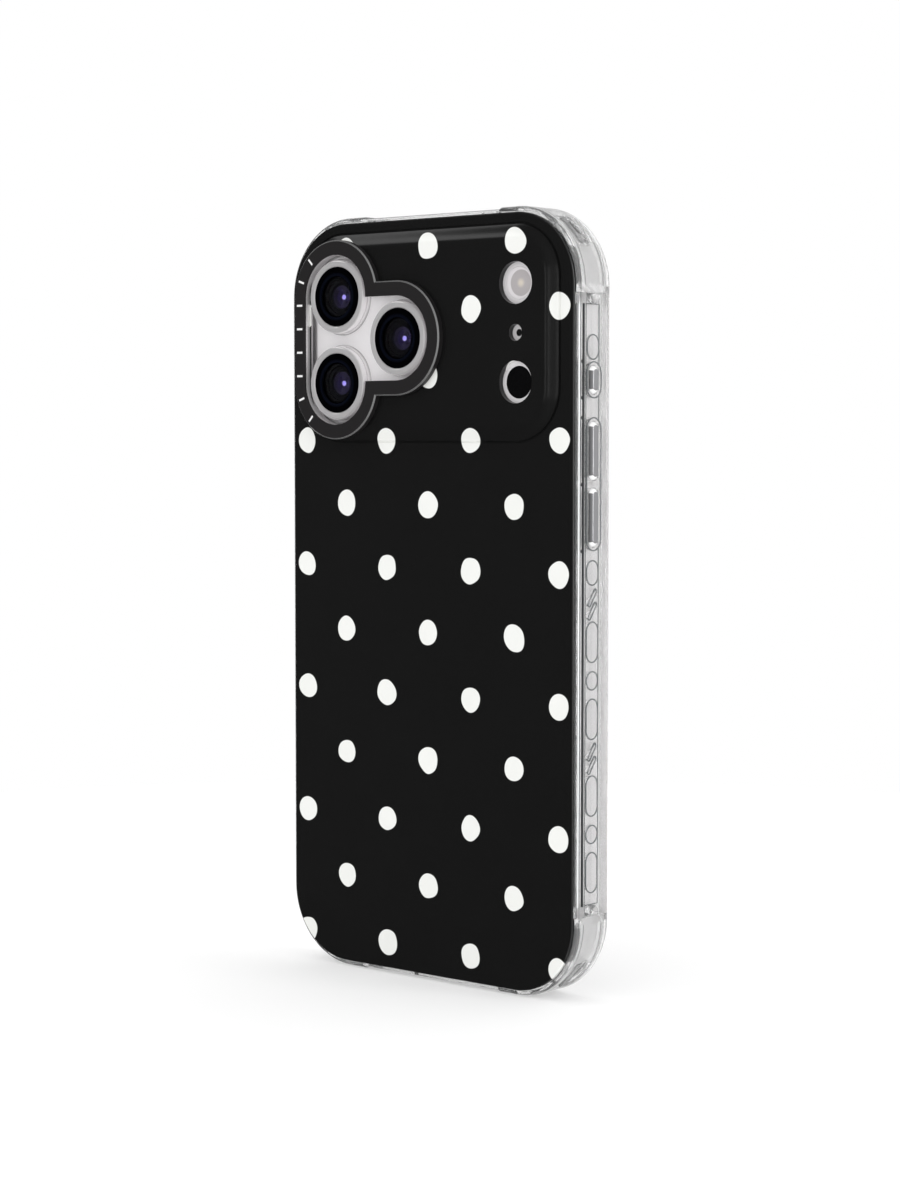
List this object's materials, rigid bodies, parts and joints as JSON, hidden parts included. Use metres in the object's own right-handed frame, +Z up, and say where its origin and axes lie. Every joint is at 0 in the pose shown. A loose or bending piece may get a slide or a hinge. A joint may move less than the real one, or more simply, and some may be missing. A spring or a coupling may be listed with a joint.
{
  "type": "smartphone in protective case",
  "caption": "Large smartphone in a black spotted protective case with clear shock-absorbing edges, raised camera ring and metal button covers.",
  "frame": {"origin": "middle of the box's bottom, on the surface that the bottom corner cushions stand on", "axes": "+Z up along the phone's length, +Y out of the screen, +X right as seen from the back"},
  "size_m": [0.0846, 0.0148, 0.1696],
  "materials": {
    "case_black": "satin black moulded plastic with pale round spots",
    "case_clear": "clear moulded soft plastic",
    "cushion_clear": "clear moulded soft plastic",
    "cover_silver": "polished silver",
    "ring_black": "black anodised, cut bright edge",
    "collar_silver": "satin silver",
    "mark_white": "white inlay",
    "housing_silver": "silver, fine blasted",
    "key_silver": "silver, fine blasted",
    "rear_glass_white": "white etched glass",
    "front_glass": "polished",
    "panel_dark": "dark screen",
    "lens_ring_bright": "polished silver",
    "lens_glass": "coated, polished",
    "lens_black": "black",
    "lens_element": "coated, polished",
    "steel_can": "stamped",
    "sensor_dark": "black",
    "flash_cream": "milky lens",
    "mesh_black": "woven mesh",
    "port_steel": "drawn",
    "port_black": "black",
    "magnet_nickel": "nickel plated",
    "coil_copper": "copper wire",
    "battery_wrap": "black wrap",
    "board_green": "solder mask",
    "module_black": "black"
  },
  "bodies": {
    "case": {"back_panel": "case_black", "bumper": "case_clear", "front_lip": "case_clear", "camera_ring": "ring_black", "camera_collar": "collar_silver", "ring_marks": "mark_white", "corner_cushion_top_right": "cushion_clear", "corner_cushion_top_left": "cushion_clear", "corner_cushion_bottom_right": "cushion_clear", "corner_cushion_bottom_left": "cushion_clear"},
    "phone": {"phone_housing": "housing_silver", "rear_glass": "rear_glass_white", "display_glass": "front_glass", "display_panel": "panel_dark", "lens_baffles": "lens_black", "image_sensors": "sensor_dark", "flash_diffuser": "flash_cream", "depth_sensor_window": "sensor_dark", "rear_microphone_mesh": "mesh_black", "button_switches": "module_black", "port_shell": "port_steel", "port_tongue": "port_black", "bottom_screws": "port_steel", "magnet_ring": "magnet_nickel", "charging_coil": "coil_copper", "battery": "battery_wrap", "main_board": "board_green", "board_shields": "steel_can", "loudspeaker": "module_black", "earpiece_speaker": "module_black", "front_camera": "module_black", "face_sensor": "module_black", "haptic_case": "steel_can", "lens_ring_upper": "lens_ring_bright", "lens_glass_upper": "lens_glass", "camera_can_upper": "steel_can", "lens_ring_lower": "lens_ring_bright", "lens_glass_lower": "lens_glass", "camera_can_lower": "steel_can", "lens_ring_middle": "lens_ring_bright", "lens_glass_middle": "lens_glass", "camera_can_middle": "steel_can"},
    "haptic_weight": {"haptic_weight": "magnet_nickel"},
    "action_cover": {"action_cover": "cover_silver"},
    "action_key": {"action_key": "key_silver"},
    "volume_up_cover": {"volume_up_cover": "cover_silver"},
    "volume_up_key": {"volume_up_key": "key_silver"},
    "volume_down_cover": {"volume_down_cover": "cover_silver"},
    "volume_down_key": {"volume_down_key": "key_silver"},
    "side_cover": {"side_cover": "cover_silver"},
    "side_key": {"side_key": "key_silver"},
    "camera_control_cover": {"camera_control_cover": "cover_silver"},
    "camera_control_key": {"camera_control_key": "key_silver"},
    "upper_lens": {"lens_barrel_upper": "lens_black", "lens_element_upper": "lens_element"},
    "lower_lens": {"lens_barrel_lower": "lens_black", "lens_element_lower": "lens_element"},
    "middle_lens": {"lens_barrel_middle": "lens_black", "lens_element_middle": "lens_element"}
  },
  "joints": [
    {"name": "phone_release", "type": "slide", "parent": "case", "child": "phone", "axis": [0, 1, 0], "range_m": [0, 0.0121], "deforming": ["front_lip"]},
    {"name": "action_cover_press", "type": "slide", "parent": "case", "child": "action_cover", "axis": [-1, 0, 0], "range_m": [0, 0.0003], "stiffness_N_per_m": 1500},
    {"name": "action_key_press", "type": "slide", "parent": "phone", "child": "action_key", "axis": [-1, 0, 0], "range_m": [0, 0.0003], "stiffness_N_per_m": 1500},
    {"name": "volume_up_cover_press", "type": "slide", "parent": "case", "child": "volume_up_cover", "axis": [-1, 0, 0], "range_m": [0, 0.0003], "stiffness_N_per_m": 1500},
    {"name": "volume_up_key_press", "type": "slide", "parent": "phone", "child": "volume_up_key", "axis": [-1, 0, 0], "range_m": [0, 0.0003], "stiffness_N_per_m": 1500},
    {"name": "volume_down_cover_press", "type": "slide", "parent": "case", "child": "volume_down_cover", "axis": [-1, 0, 0], "range_m": [0, 0.0003], "stiffness_N_per_m": 1500},
    {"name": "volume_down_key_press", "type": "slide", "parent": "phone", "child": "volume_down_key", "axis": [-1, 0, 0], "range_m": [0, 0.0003], "stiffness_N_per_m": 1500},
    {"name": "side_cover_press", "type": "slide", "parent": "case", "child": "side_cover", "axis": [1, 0, 0], "range_m": [0, 0.0003], "stiffness_N_per_m": 1500},
    {"name": "side_key_press", "type": "slide", "parent": "phone", "child": "side_key", "axis": [1, 0, 0], "range_m": [0, 0.0003], "stiffness_N_per_m": 1500},
    {"name": "camera_control_cover_press", "type": "slide", "parent": "case", "child": "camera_control_cover", "axis": [1, 0, 0], "range_m": [0, 0.0003], "stiffness_N_per_m": 1500},
    {"name": "camera_control_key_press", "type": "slide", "parent": "phone", "child": "camera_control_key", "axis": [1, 0, 0], "range_m": [0, 0.0003], "stiffness_N_per_m": 1500},
    {"name": "upper_lens_focus", "type": "slide", "parent": "phone", "child": "upper_lens", "axis": [0, -1, 0], "range_m": [0, 0.0004], "stiffness_N_per_m": 50},
    {"name": "lower_lens_focus", "type": "slide", "parent": "phone", "child": "lower_lens", "axis": [0, -1, 0], "range_m": [0, 0.0004], "stiffness_N_per_m": 50},
    {"name": "middle_lens_focus", "type": "slide", "parent": "phone", "child": "middle_lens", "axis": [0, -1, 0], "range_m": [0, 0.0004], "stiffness_N_per_m": 50},
    {"name": "haptic_slide", "type": "slide", "parent": "phone", "child": "haptic_weight", "axis": [1, 0, 0], "range_m": [-0.0008, 0.0008], "stiffness_N_per_m": 1300}
  ],
  "couplings": [
    {"joint": "action_key_press", "follows": "action_cover_press", "ratio": 1},
    {"joint": "volume_up_key_press", "follows": "volume_up_cover_press", "ratio": 1},
    {"joint": "volume_down_key_press", "follows": "volume_down_cover_press", "ratio": 1},
    {"joint": "side_key_press", "follows": "side_cover_press", "ratio": 1},
    {"joint": "camera_control_key_press", "follows": "camera_control_cover_press", "ratio": 1}
  ]
}
